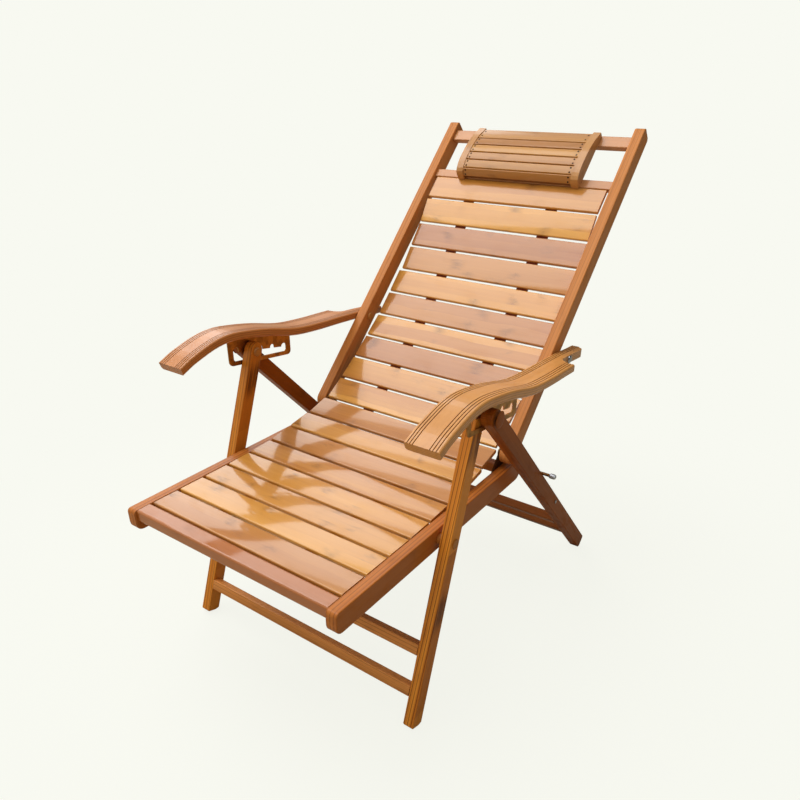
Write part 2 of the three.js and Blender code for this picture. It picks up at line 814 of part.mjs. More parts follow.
function armSolid() {
  const place = (origin, axis, [across, down]) => {
    const [y, z] = offsetPoint(origin, axis, 0, down);
    return [armInner + across, y, z];
  };
  const board = toManifold(loftAlong(armCurve(), armSection(), armStations, place));
  const holeStart = armInner - cutterOverrun;
  const hole = toManifold(pivotedCylinder(armPivot, boltRadius + fit, holeStart, armInner + armWidth));
  const shaped = board.subtract(toManifold(armTongueCutter())).subtract(toManifold(armTipCutter()));
  return fromManifold(shaped.subtract(hole));
}

// Underside of the armrest, used to seat the bracket plate
function armUndersideAt(y) {
  const curve = armCurve();
  let low = 0;
  let high = 1;
  const halvings = 30;
  for (let i = 0; i < halvings; i += 1) {
    const middle = (low + high) / 2;
    const here = curve.getPointAt(middle);
    const ahead = curve.getTangentAt(middle);
    if (offsetPoint([here.y, here.z], [ahead.y, ahead.z], 0, armThickness)[0] < y) {
      low = middle;
    } else {
      high = middle;
    }
  }
  const here = curve.getPointAt(low);
  const ahead = curve.getTangentAt(low);
  return offsetPoint([here.y, here.z], [ahead.y, ahead.z], 0, armThickness)[1];
}

function slotTopAt(y) {
  return legPivot[1] + slotTopRise - slotFall * (y - legPivot[0]);
}

function barTopAt(y) {
  return legPivot[1] - barTopDrop - barFall * (y - legPivot[0]);
}

// Window of the bracket plate: a running channel with slots cut up from it
function plateWindow() {
  const path = new THREE.Path();
  const corner = windowCorner;
  const halfSlot = slotWidth / 2;
  const toothAt = (y) => legPivot[1] - toothDrop - toothFall * (y - legPivot[0]);
  path.moveTo(windowFrontY + corner, barTopAt(windowFrontY + corner));
  path.lineTo(windowRearY - corner, barTopAt(windowRearY - corner));
  path.lineTo(windowRearY, barTopAt(windowRearY) + corner);
  for (let i = slotCount - 1; i >= 0; i -= 1) {
    const centre = legPivot[0] + (i - slotOfBolt) * slotPitch;
    const archBase = slotTopAt(centre) - halfSlot;
    const isRearmost = i === slotCount - 1;
    const isForemost = i === 0;
    const rear = isRearmost ? windowRearY : centre + halfSlot;
    const front = isForemost ? windowFrontY : centre - halfSlot;
    if (!isRearmost) {
      path.lineTo(rear, toothAt(rear));
    }
    path.lineTo(rear, archBase);
    const steps = 6;
    for (let k = 1; k < steps; k += 1) {
      const angle = (k / steps) * Math.PI;
      const y = (rear + front) / 2 + ((rear - front) / 2) * Math.cos(angle);
      path.lineTo(y, archBase + halfSlot * Math.sin(angle));
    }
    path.lineTo(front, archBase);
    if (!isForemost) {
      path.lineTo(front, toothAt(front));
    }
  }
  path.lineTo(windowFrontY, barTopAt(windowFrontY) + corner);
  path.closePath();
  return path;
}

function plateOutline() {
  const shape = new THREE.Shape();
  const low = (y) => barTopAt(y) - barThickness;
  const r = plateCornerRadius;
  const stations = 10;
  shape.moveTo(plateFrontY, low(plateFrontY) + r);
  shape.quadraticCurveTo(plateFrontY, low(plateFrontY), plateFrontY + r, low(plateFrontY + r));
  shape.lineTo(plateRearY - r, low(plateRearY - r));
  shape.quadraticCurveTo(plateRearY, low(plateRearY), plateRearY, low(plateRearY) + r);
  for (let i = 0; i <= stations; i += 1) {
    const y = plateRearY + ((plateFrontY - plateRearY) * i) / stations;
    shape.lineTo(y, armUndersideAt(y) - fit);
  }
  shape.closePath();
  shape.holes.push(plateWindow());
  return shape;
}

function flangeOutline() {
  const upper = [];
  const lower = [];
  const stations = 10;
  for (let i = 0; i <= stations; i += 1) {
    const y = plateFrontY + ((plateRearY - plateFrontY) * i) / stations;
    upper.push([y, armUndersideAt(y) - fit]);
    lower.push([y, armUndersideAt(y) - fit - flangeThickness]);
  }
  return polygon([...lower, ...upper.reverse()]);
}

function bracketPlateSolid() {
  const plateMax = plateInner + plateThickness;
  const plate = toManifold(acrossChair(plateOutline(), plateInner, plateMax, 0));
  const flange = toManifold(acrossChair(flangeOutline(), plateInner, plateMax + flangeWidth, 0));
  return fromManifold(plate.add(flange));
}

function buildArms() {
  addPair('armrest', armSolid(), () => varnishedBamboo(armColor));
  addPair('notch_plate', bracketPlateSolid(), stampedBrass);
  const leanAt = (z) => backRailLean * (z - backPivot[1]);
  const headX = backRailInner + leanAt(armPivot[1] + headRadius) - 2 * fit;
  const railOuter = backRailInner + backRailWidth + leanAt(armPivot[1] - washerRadius);
  const nutStart = armInner + tongueWidth + fit;
  const profile = [
    ...boltHead(headX), [boltRadius, railOuter + fit],
    [washerRadius, railOuter + fit], [washerRadius, armInner - fit],
    [boltRadius, armInner - fit], [boltRadius, nutStart], [armNutRadius, nutStart],
    [armNutRadius, nutStart + headThickness / 2], [armNutRadius * headTopShare, nutStart + headThickness],
    [0, nutStart + headThickness],
  ];
  addPair('arm_pivot_bolt', turnedBolt(armPivot, profile), zincSteel);
}

buildSeatFrame();
buildSlats();
buildStrips();
buildHinge();
buildBackFrame();
buildHeadrest();
buildFrontLegs();
buildRearLegs();
buildLegBolts();
buildSeatBolts();
buildArms();

// The footprint is centred on the origin and the feet stand on the floor
const bounds = new THREE.Box3().setFromObject(chair);
chair.position.set(0, -(bounds.min.y + bounds.max.y) / 2, -bounds.min.z);

export default chair;
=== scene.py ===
import math

import bpy
from mathutils import Matrix, Vector


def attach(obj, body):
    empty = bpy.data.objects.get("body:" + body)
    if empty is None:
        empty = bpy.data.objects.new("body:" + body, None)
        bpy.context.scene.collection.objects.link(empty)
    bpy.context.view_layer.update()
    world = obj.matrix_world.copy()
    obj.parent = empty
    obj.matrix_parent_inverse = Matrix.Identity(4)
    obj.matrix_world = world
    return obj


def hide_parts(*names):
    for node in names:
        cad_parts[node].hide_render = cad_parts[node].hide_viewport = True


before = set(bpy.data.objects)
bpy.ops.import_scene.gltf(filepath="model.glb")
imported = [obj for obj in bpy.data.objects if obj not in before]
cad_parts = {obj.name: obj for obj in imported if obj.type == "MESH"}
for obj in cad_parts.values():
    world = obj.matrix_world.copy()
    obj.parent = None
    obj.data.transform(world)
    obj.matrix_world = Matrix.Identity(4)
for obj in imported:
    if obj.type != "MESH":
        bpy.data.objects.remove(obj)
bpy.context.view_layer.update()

# metres: x across the chair, y front to back, z up
# a few places below are in the drawing's y, whose zero lies shiftY in front of the frame's
shiftY = 0.408504
# how the bars lean in the side view, from rise and run
angles = {
    "frontLeg": math.atan2(0.943, 0.332),
    "rearLeg": math.atan2(-0.7215, 0.6923),
    "backRail": math.atan2(0.7103, 0.7039),
    "seatRail": math.atan2(-0.01475, 1.0),
    "level": 0.0,
}


# colour values of 0 to 255 as a linear colour, by the standard curve
def srgb(r, g, b):
    linear = []
    for c in (r / 255, g / 255, b / 255):
        linear.append(c / 12.92 if c <= 0.04045 else ((c + 0.055) / 1.055) ** 2.4)
    return (*linear, 1.0)


# helpers for node trees
nodeGrid = {"perRow": 10, "column": 220, "row": 300}


# an output socket is linked, any other value is set on the input itself
def feed(tree, node, inputs):
    for key, value in inputs.items():
        if isinstance(value, bpy.types.NodeSocket):
            tree.links.new(value, node.inputs[key])
        else:
            node.inputs[key].default_value = value


# nodes stand in rows, in the order in which they are made
def addNode(tree, kind, inputs=None, **settings):
    row, column = divmod(len(tree.nodes), nodeGrid["perRow"])
    node = tree.nodes.new(kind)
    node.location = (column * nodeGrid["column"], -row * nodeGrid["row"])
    for key, value in settings.items():
        setattr(node, key, value)
    feed(tree, node, inputs or {})
    return node


def mathNode(tree, operation, a, b=None, clamp=False):
    inputs = {0: a} if b is None else {0: a, 1: b}
    return addNode(tree, "ShaderNodeMath", inputs, operation=operation, use_clamp=clamp).outputs[0]


def plus(tree, a, b, clamp=False):
    return mathNode(tree, "ADD", a, b, clamp)


def minus(tree, a, b):
    return mathNode(tree, "SUBTRACT", a, b)


def times(tree, a, b, clamp=False):
    return mathNode(tree, "MULTIPLY", a, b, clamp)


# a noise between 0 and 1, moved to swing about zero
def swing(tree, noise, amount):
    return times(tree, minus(tree, noise, 0.5), amount)


# a saw between 0 and 0.5, one tooth for each width
def teeth(tree, value, width):
    return mathNode(tree, "PINGPONG", mathNode(tree, "DIVIDE", value, width), 0.5)


def smoothStep(tree, value, low, high, toMin=0.0, toMax=1.0):
    inputs = dict(enumerate((value, low, high, toMin, toMax)))
    return addNode(tree, "ShaderNodeMapRange", inputs, interpolation_type="SMOOTHSTEP").outputs[0]


# a mix node keeps its colours at inputs 6 and 7 and its mixed colour at output 2
def mixColor(tree, factor, a, b, blend="MIX"):
    inputs = {0: factor, 6: a, 7: b}
    return addNode(tree, "ShaderNodeMix", inputs, data_type="RGBA", blend_type=blend).outputs[2]


def splitVector(tree, vector):
    return addNode(tree, "ShaderNodeSeparateXYZ", {0: vector}).outputs


def joinVector(tree, x, y, z):
    return addNode(tree, "ShaderNodeCombineXYZ", {0: x, 1: y, 2: z}).outputs[0]


# sockets are (name, kind, default), with None where Blender's own default stays
def newGroup(name, kind, inputs, outputs):
    tree = bpy.data.node_groups.new(name, kind)
    for direction, sockets in (("INPUT", inputs), ("OUTPUT", outputs)):
        for socketName, socketKind, default in sockets:
            socketType = "NodeSocket" + socketKind
            socket = tree.interface.new_socket(socketName, in_out=direction, socket_type=socketType)
            if default is not None:
                socket.default_value = default
    return tree, addNode(tree, "NodeGroupInput").outputs, addNode(tree, "NodeGroupOutput")


def newMaterial(name):
    mat = bpy.data.materials.new(name)
    mat.use_nodes = True
    return mat, mat.node_tree, mat.node_tree.nodes["Principled BSDF"]


# bamboo: lengths in metres, noise scales in waves per metre
# lines, halos, patches and breaks are where a smooth step starts and ends, and some have its strength third
grainLook = {
    "seedStep": 3.17, "stripStep": 17.3, "knuckleStep": 29.0,  # how far a seed moves each pattern
    "drift": 7.0, "driftDetail": 2.0, "stripStart": 0.37,
    # scale along and across the fibres, detail, distortion
    "fine": (9.0, 900.0, 4.0, 0.2),
    "streak": (2.4, 130.0, 4.0, 0.5),
    "broad": (1.3, 14.0, 3.0, 0.6),
    "blotch": (14.0, 30.0, 3.0, 0.3),
    "noiseRoughness": 0.6,
    "knuckleWobble": 0.03, "knuckleRandom": 0.8, "knucklePatches": (0.44, 0.66),
    "knuckleLine": (0.0004, 0.0030, 0.75), "knuckleHalo": (0.0, 0.026, 1.0), "haloStrength": 0.55,
    "plyWarp": 0.0022, "plyLine": (0.03, 0.16, 1.0), "plyBreaks": (0.35, 0.55, 0.35),
    "streakTone": 0.55, "fineTone": 0.35, "middleTone": 0.42,
    "roughness": 0.30, "fineRoughness": 0.12, "wornPatches": (0.5, 0.7),
    "fineHeight": 0.25, "knuckleHeight": 0.8, "plyDepth": 0.7,
    "bumpStrength": 0.35, "bumpDistance": 0.00012, "coatIor": 1.5, "specular": 0.25,
}
bambooInputs = {
    "Seed": 0.0, "Node spacing": 0.24, "Mark strength": 0.5,
    "Strip width": 0.019, "Strip contrast": 0.16, "Strip wander": 0.0,
    "Ply width": 0.0055, "Ply strength": 0.0, "Mottle": 0.35, "Wear": 0.2,
}


# one group for every bamboo piece; Vector is (along the grain, across, depth)
def makeBambooGroup():
    look = grainLook
    colors = [(name, "Color", None) for name in ("Light", "Dark", "Line")]
    numbers = [(name, "Float", default) for name, default in bambooInputs.items()]
    outputs = [("Color", "Color", None), ("Roughness", "Float", None), ("Height", "Float", None)]
    inputs = [("Vector", "Vector", None)] + numbers + colors
    tree, given, end = newGroup("bambooGrain", "ShaderNodeTree", inputs, outputs)
    along, across, depth = splitVector(tree, given["Vector"])
    movedAlong = plus(tree, along, times(tree, given["Seed"], look["seedStep"]))

    # which pressed strip of the board this is, with a border that wanders
    driftInputs = {"Scale": look["drift"], "Detail": look["driftDetail"], "W": movedAlong}
    drift = addNode(tree, "ShaderNodeTexNoise", driftInputs, noise_dimensions="1D").outputs[0]
    wandered = plus(tree, across, swing(tree, drift, given["Strip wander"]))
    stripAt = mathNode(tree, "DIVIDE", wandered, given["Strip width"])
    stripNo = mathNode(tree, "FLOOR", plus(tree, stripAt, look["stripStart"]))
    stripKey = plus(tree, stripNo, times(tree, given["Seed"], look["stripStep"]))
    stripNoise = addNode(tree, "ShaderNodeTexWhiteNoise", {"W": stripKey}, noise_dimensions="1D").outputs[0]

    def grain(scaleAlong, scaleAcross, detail, distortion):
        inputs = {
            "Vector": joinVector(tree, times(tree, movedAlong, scaleAlong), times(tree, across, scaleAcross),
                                 times(tree, depth, scaleAcross)),
            "Scale": 1.0, "Detail": detail, "Roughness": look["noiseRoughness"], "Distortion": distortion,
        }
        return addNode(tree, "ShaderNodeTexNoise", inputs, noise_dimensions="3D").outputs[0]

    fine, streak, broad, blotch = [grain(*look[name]) for name in ("fine", "streak", "broad", "blotch")]

    # knuckles: each strip has its own, with a thin dark line in a soft halo
    wobbled = plus(tree, movedAlong, swing(tree, streak, look["knuckleWobble"]))
    markAt = plus(tree, mathNode(tree, "DIVIDE", wobbled, given["Node spacing"]),
                  times(tree, stripNoise, look["knuckleStep"]))
    cellInputs = {"Scale": 1.0, "Randomness": look["knuckleRandom"], "W": markAt}
    cells = addNode(tree, "ShaderNodeTexVoronoi", cellInputs, voronoi_dimensions="1D", feature="F1")
    distance = times(tree, cells.outputs["Distance"], given["Node spacing"])
    patchy = smoothStep(tree, blotch, *look["knucklePatches"])
    thin = times(tree, smoothStep(tree, distance, *look["knuckleLine"], 0.0), patchy)
    halo = times(tree, smoothStep(tree, distance, *look["knuckleHalo"], 0.0),
                 times(tree, patchy, look["haloStrength"]))
    mark = times(tree, mathNode(tree, "MAXIMUM", thin, halo), given["Mark strength"], clamp=True)

    # glue lines between plies, broken here and there
    plyCell = teeth(tree, plus(tree, across, swing(tree, broad, look["plyWarp"])), given["Ply width"])
    plyLine = times(tree, smoothStep(tree, plyCell, *look["plyLine"], 0.0),
                    smoothStep(tree, streak, *look["plyBreaks"], 1.0))
    plyLine = times(tree, plyLine, given["Ply strength"], clamp=True)

    tone = swing(tree, stripNoise, given["Strip contrast"])
    for noise, amount in ((broad, given["Mottle"]), (streak, look["streakTone"]), (fine, look["fineTone"])):
        tone = plus(tree, tone, swing(tree, noise, amount))
    tone = plus(tree, tone, look["middleTone"], clamp=True)
    color = mixColor(tree, tone, given["Light"], given["Dark"])
    color = mixColor(tree, plyLine, color, given["Line"])
    color = mixColor(tree, mark, color, given["Line"])

    rough = plus(tree, times(tree, fine, look["fineRoughness"]), look["roughness"])
    worn = times(tree, given["Wear"], smoothStep(tree, blotch, *look["wornPatches"]))
    height = plus(tree, times(tree, fine, look["fineHeight"]), times(tree, mark, look["knuckleHeight"]))
    height = minus(tree, height, times(tree, plyLine, look["plyDepth"]))
    feed(tree, end, {"Color": color, "Roughness": plus(tree, rough, worn), "Height": height})
    return tree


bambooGroup = makeBambooGroup()

# armrests: plies follow the crown, a line of (y, z) in the drawing's y, and grooves run along the top
# plyLine is (from, to, strength) in a ply's width, sides and top say how far up a face has to look
armLook = {
    "crown": ((0.015, 0.594), (0.044, 0.606), (0.071, 0.614), (0.099, 0.621), (0.127, 0.625), (0.156, 0.625),
              (0.199, 0.619), (0.254, 0.608), (0.318, 0.591), (0.348, 0.585), (0.413, 0.578), (0.488, 0.573),
              (0.563, 0.567), (0.652, 0.558)),
    "yRange": (0.0, 0.66), "zRange": (0.5, 0.66),  # the window that holds the crown
    "ply": 0.0043, "plyLine": (0.05, 0.2, 0.5), "sides": (0.35, 0.6),
    "grooves": (0.258, 0.263, 0.268, 0.298, 0.3035, 0.309),
    "grooveHalf": 0.0009, "grooveShares": (0.45, 1.3), "grooveStrength": 0.9, "top": (0.2, 0.5),
}


# height of the crown above the floor, by a curve over y
def crownHeight(tree, y):
    lowY, highY = armLook["yRange"]
    lowZ, highZ = armLook["zRange"]
    share = addNode(tree, "ShaderNodeMapRange", {0: y, 1: lowY - shiftY, 2: highY - shiftY}).outputs[0]
    crown = addNode(tree, "ShaderNodeFloatCurve", {"Value": share})
    line = crown.mapping.curves[0]
    spots = [((y - lowY) / (highY - lowY), (z - lowZ) / (highZ - lowZ)) for y, z in armLook["crown"]]
    line.points[0].location = spots[0]
    line.points[1].location = spots[-1]
    for spot in spots[1:-1]:
        line.points.new(*spot)
    crown.mapping.update()
    return plus(tree, times(tree, crown.outputs[0], highZ - lowZ), lowZ)


def armLines(tree, coords, color, lineColor):
    x, y, z = splitVector(tree, coords.outputs["Object"])
    across = mathNode(tree, "ABSOLUTE", x)
    gaps = [mathNode(tree, "ABSOLUTE", minus(tree, across, place)) for place in armLook["grooves"]]
    nearest = gaps[0]
    for gap in gaps[1:]:
        nearest = mathNode(tree, "MINIMUM", nearest, gap)
    grooveFrom, grooveTo = [armLook["grooveHalf"] * share for share in armLook["grooveShares"]]
    groove = smoothStep(tree, nearest, grooveFrom, grooveTo, armLook["grooveStrength"], 0.0)

    plyCell = teeth(tree, minus(tree, crownHeight(tree, y), z), armLook["ply"])
    ply = smoothStep(tree, plyCell, *armLook["plyLine"], 0.0)
    normal = addNode(tree, "ShaderNodeNewGeometry").outputs["Normal"]
    facingUp = splitVector(tree, normal)[2]
    onSides = smoothStep(tree, mathNode(tree, "ABSOLUTE", facingUp), *armLook["sides"], 1.0, 0.0)
    onTop = smoothStep(tree, facingUp, *armLook["top"])
    lines = mathNode(tree, "MAXIMUM", times(tree, ply, onSides), times(tree, groove, onTop), clamp=True)
    return mixColor(tree, lines, color, lineColor)


def meshValue(tree, name):
    return addNode(tree, "ShaderNodeAttribute", attribute_name=name).outputs["Fac"]


grainAxes = {"across": (0, 1, 2), "bar": (1, 0, 2)}


# grain runs across the chair, or along a bar that leans by angle in the side view
def bambooMaterial(name, look, grain="across", angle=0.0, seed=0.0):
    mat, tree, shader = newMaterial(name)
    coords = addNode(tree, "ShaderNodeTexCoord")
    lean = -angle
    if look.get("boards"):  # each board keeps its own angle, seed and tint on the mesh
        lean = times(tree, meshValue(tree, "slatAngle"), -1.0)
        seed = meshValue(tree, "slatSeed")
    turnInputs = {"Vector": coords.outputs["Object"], "Angle": lean}
    turn = addNode(tree, "ShaderNodeVectorRotate", turnInputs, rotation_type="X_AXIS").outputs[0]
    parts = splitVector(tree, turn)
    light, dark, line = look["colors"]
    inputs = {
        "Vector": joinVector(tree, *[parts[axis] for axis in grainAxes[grain]]),
        "Seed": seed, "Light": light, "Dark": dark, "Line": line, **look["group"],
    }
    group = addNode(tree, "ShaderNodeGroup", inputs, node_tree=bambooGroup).outputs
    color = group["Color"]
    if look.get("boards"):
        ramp = addNode(tree, "ShaderNodeValToRGB", {0: meshValue(tree, "slatTint")})
        for element, tint in zip(ramp.color_ramp.elements, boardTints):
            element.color = tint
        color = mixColor(tree, 1.0, color, ramp.outputs[0], "MULTIPLY")
    if look.get("grooved"):
        color = armLines(tree, coords, color, line)
    bumpInputs = {
        "Strength": grainLook["bumpStrength"],
        "Distance": grainLook["bumpDistance"],
        "Height": group["Height"],
    }
    feed(tree, shader, {
        "Base Color": color,
        "Roughness": group["Roughness"],
        "Normal": addNode(tree, "ShaderNodeBump", bumpInputs).outputs[0],
        "Coat Weight": look["coat"],
        "Coat Roughness": look["coatRoughness"],
        "Coat IOR": grainLook["coatIor"],
        "Specular IOR Level": look.get("specular", grainLook["specular"]),
    })
    return mat


# a board's tint lies between these two and is multiplied over its colours
boardTints = (srgb(255, 255, 222), srgb(214, 194, 180))
# colors are the light fibres, the dark ones and the lines
bambooLooks = {
    "slat": {
        "boards": True,
        "colors": (srgb(229, 165, 82), srgb(192, 121, 50), srgb(110, 60, 24)),
        "group": {"Node spacing": 0.2, "Mark strength": 0.85, "Strip width": 0.0285, "Strip contrast": 0.75,
                  "Strip wander": 0.014, "Mottle": 1.05},
        "coat": 1.0, "coatRoughness": 0.09,
    },
    "headrestSlat": {
        "boards": True,
        "colors": (srgb(208, 150, 82), srgb(168, 108, 52), srgb(84, 44, 16)),
        "group": {"Node spacing": 0.2, "Mark strength": 0.45, "Strip width": 0.02, "Strip contrast": 0.35,
                  "Strip wander": 0.004, "Mottle": 0.5},
        "coat": 0.6, "coatRoughness": 0.12,
    },
    "seatRail": {
        "colors": (srgb(206, 124, 52), srgb(158, 84, 28), srgb(74, 32, 8)),
        "group": {"Node spacing": 0.26, "Mark strength": 0.35, "Strip width": 0.0074, "Strip contrast": 0.5,
                  "Ply width": 0.0074, "Ply strength": 0.5, "Mottle": 0.6},
        "coat": 0.15, "coatRoughness": 0.2, "specular": 0.15,
    },
    "backRail": {
        "colors": (srgb(216, 142, 78), srgb(174, 102, 46), srgb(82, 38, 12)),
        "group": {"Node spacing": 0.3, "Mark strength": 0.3, "Strip width": 0.0074, "Strip contrast": 0.4,
                  "Ply width": 0.0074, "Ply strength": 0.3, "Mottle": 0.5},
        "coat": 0.08, "coatRoughness": 0.2, "specular": 0.1,
    },
    "crossRail": {
        "colors": (srgb(210, 146, 90), srgb(176, 112, 62), srgb(92, 46, 20)),
        "group": {"Node spacing": 0.3, "Mark strength": 0.3, "Strip width": 0.014, "Strip contrast": 0.3,
                  "Strip wander": 0.004, "Mottle": 0.5},
        "coat": 0.6, "coatRoughness": 0.12,
    },
    "frontBar": {
        "colors": (srgb(190, 112, 48), srgb(150, 80, 28), srgb(80, 38, 12)),
        "group": {"Node spacing": 0.26, "Mark strength": 0.25, "Strip width": 0.016, "Strip contrast": 0.3,
                  "Strip wander": 0.006, "Mottle": 0.6},
        "coat": 0.9, "coatRoughness": 0.07,
    },
    "frontLeg": {
        "colors": (srgb(230, 146, 50), srgb(182, 100, 26), srgb(88, 42, 10)),
        "group": {"Node spacing": 0.2, "Mark strength": 0.28, "Strip width": 0.0073, "Strip contrast": 0.7,
                  "Ply width": 0.0073, "Ply strength": 0.8, "Mottle": 0.6},
        "coat": 0.12, "coatRoughness": 0.22, "specular": 0.15,
    },
    "rearLeg": {
        "colors": (srgb(168, 90, 24), srgb(122, 58, 14), srgb(62, 26, 6)),
        "group": {"Node spacing": 0.25, "Mark strength": 0.35, "Strip width": 0.0106, "Strip contrast": 0.3,
                  "Ply width": 0.0106, "Ply strength": 0.2, "Mottle": 0.6},
        "coat": 0.12, "coatRoughness": 0.22, "specular": 0.05,
    },
    "crossbar": {
        "colors": (srgb(228, 150, 78), srgb(182, 112, 50), srgb(92, 46, 18)),
        "group": {"Node spacing": 0.24, "Mark strength": 0.35, "Strip width": 0.0073, "Strip contrast": 0.5,
                  "Ply width": 0.0073, "Ply strength": 0.5, "Mottle": 0.5},
        "coat": 0.12, "coatRoughness": 0.22, "specular": 0.15,
    },
    "arm": {
        "grooved": True,
        "colors": (srgb(228, 164, 92), srgb(190, 120, 56), srgb(120, 68, 26)),
        "group": {"Node spacing": 0.24, "Mark strength": 0.25, "Strip width": 0.021, "Strip contrast": 0.18,
                  "Strip wander": 0.004, "Mottle": 0.5},
        "coat": 0.5, "coatRoughness": 0.14,
    },
    "strip": {
        "colors": (srgb(150, 60, 30), srgb(104, 36, 16), srgb(60, 22, 10)),
        "group": {"Node spacing": 0.3, "Mark strength": 0.2, "Strip width": 0.009, "Strip contrast": 0.2,
                  "Mottle": 0.4},
        "coat": 0.3, "coatRoughness": 0.25,
    },
}
bambooLooks["cheek"] = dict(bambooLooks["headrestSlat"], boards=False)
bambooLooks["rearBar"] = dict(bambooLooks["crossbar"],
                              colors=(srgb(166, 98, 50), srgb(120, 66, 30), srgb(60, 28, 10)))
bambooLooks["redArm"] = dict(bambooLooks["arm"],
                             colors=(srgb(212, 138, 74), srgb(170, 98, 46), srgb(108, 58, 22)))

# fittings: a fine noise roughens their surface, a wide one clouds their colour
metalLook = {
    "fineScale": 420.0, "fineDetail": 5.0, "fineRoughness": 0.2, "cloudScale": 60.0, "cloud": (0.4, 0.65),
    "bumpStrength": 0.2, "bumpDistance": 0.00008,
}
metalLooks = {
    "zinc": {"color": srgb(188, 192, 200), "roughness": 0.18, "clouding": 0.3, "metallic": 1.0},
    "brass": {"color": srgb(190, 140, 74), "roughness": 0.3, "clouding": 0.4, "metallic": 1.0},
    "bronze": {"color": srgb(124, 86, 50), "roughness": 0.35, "clouding": 0.4, "metallic": 1.0},
    "darkSteel": {"color": srgb(58, 42, 30), "roughness": 0.4, "clouding": 0.3, "metallic": 1.0},
    "lacquered": {"color": srgb(184, 118, 50), "roughness": 0.35, "clouding": 0.25, "metallic": 0.0},
}


def metalMaterial(name, look):
    mat, tree, shader = newMaterial(name)
    coords = addNode(tree, "ShaderNodeTexCoord").outputs["Object"]
    fineInputs = {"Vector": coords, "Scale": metalLook["fineScale"], "Detail": metalLook["fineDetail"]}
    fine = addNode(tree, "ShaderNodeTexNoise", fineInputs).outputs[0]
    cloudInputs = {"Vector": coords, "Scale": metalLook["cloudScale"]}
    cloud = addNode(tree, "ShaderNodeTexNoise", cloudInputs).outputs[0]
    darker = tuple(c * (1 - look["clouding"]) for c in look["color"][:3]) + (1.0,)
    bumpInputs = {
        "Strength": metalLook["bumpStrength"],
        "Distance": metalLook["bumpDistance"],
        "Height": fine,
    }
    feed(tree, shader, {
        "Base Color": mixColor(tree, smoothStep(tree, cloud, *metalLook["cloud"]), look["color"], darker),
        "Metallic": look["metallic"],
        "Roughness": plus(tree, times(tree, fine, metalLook["fineRoughness"]), look["roughness"]),
        "Normal": addNode(tree, "ShaderNodeBump", bumpInputs).outputs[0],
    })
    return mat


metals = {name: metalMaterial(name, look) for name, look in metalLooks.items()}
print("metals made:", len(metals))


# frame pieces: every bamboo CAD node gets its own grain seed
def dress(nodeName, mat):
    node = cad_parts[nodeName]
    node.data.materials.clear()
    node.data.materials.append(mat)
    return node


def nodesNamed(start):
    return sorted(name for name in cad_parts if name.startswith(start))


seedStep = 0.73
# (how the nodes' names start, look, grain, lean, slot)
woodPlan = [
    ("seat_rail", "seatRail", "bar", "seatRail", "frame_bamboo"),
    ("back_rail", "backRail", "bar", "backRail", "frame_bamboo"),
    ("front_leg", "frontLeg", "bar", "frontLeg", "leg_bamboo"),
    ("rear_leg", "rearLeg", "bar", "rearLeg", "leg_bamboo"),
    ("armrest_left", "arm", "bar", "level", "arm_bamboo"),
    ("armrest_right", "redArm", "bar", "level", "arm_bamboo"),
    ("headrest_cheek", "cheek", "bar", "backRail", "slat_bamboo"),
    ("seat_strip", "strip", "bar", "level", "strip_bamboo"),
    ("back_strip", "strip", "bar", "backRail", "strip_bamboo"),
    ("seat_front_bar", "frontBar", "across", "seatRail", "frame_bamboo"),
    ("seat_rear_bar", "seatRail", "across", "seatRail", "frame_bamboo"),
    ("back_top_rail", "crossRail", "across", "backRail", "frame_bamboo"),
    ("back_carrier_rail", "crossRail", "across", "backRail", "frame_bamboo"),
    ("front_crossbar", "crossbar", "across", "frontLeg", "leg_bamboo"),
    ("rear_crossbar", "rearBar", "across", "rearLeg", "leg_bamboo"),
]
seedCount = 0
for nameStart, look, grain, lean, slotName in woodPlan:
    for name in nodesNamed(nameStart):
        seedCount += 1
        wood = bambooMaterial(name + "Wood", bambooLooks[look], grain, angles[lean], seedCount * seedStep)
        dress(name, wood)
print("bamboo bars dressed:", seedCount)

# distance from the middle of the chair beyond which these are bright
brightFrom = {"hinge_plate": 0.3165, "arm_pivot_bolt": 0.28}
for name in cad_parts:
    if "bolt" in name or "hinge" in name:
        node = dress(name, metals["bronze" if "hinge" in name else "lacquered"])
        node.data.materials.append(metals["zinc"])
        bright = brightFrom.get(name.rsplit("_", 1)[0], math.inf)
        for poly in node.data.polygons:
            poly.material_index = 1 if abs(poly.center.x) > bright else 0
    if "notch" in name:
        dress(name, metals["brass"])
print("fittings dressed, of", len(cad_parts), "nodes in all")

# edges: bevels on the CAD nodes and smooth faces below a corner angle, in degrees
edgeLook = {
    "smoothBelow": 35, "bevelAbove": 40, "steps": 3,
    "notch": 0.0004, "hinge": 0.0003, "bamboo": 0.0012,
}


def soften(nodeName, width):
    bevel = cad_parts[nodeName].modifiers.new("softEdge", "BEVEL")
    bevel.width = width
    bevel.segments = edgeLook["steps"]
    bevel.limit_method = "ANGLE"
    bevel.angle_limit = math.radians(edgeLook["bevelAbove"])
    bevel.harden_normals = True


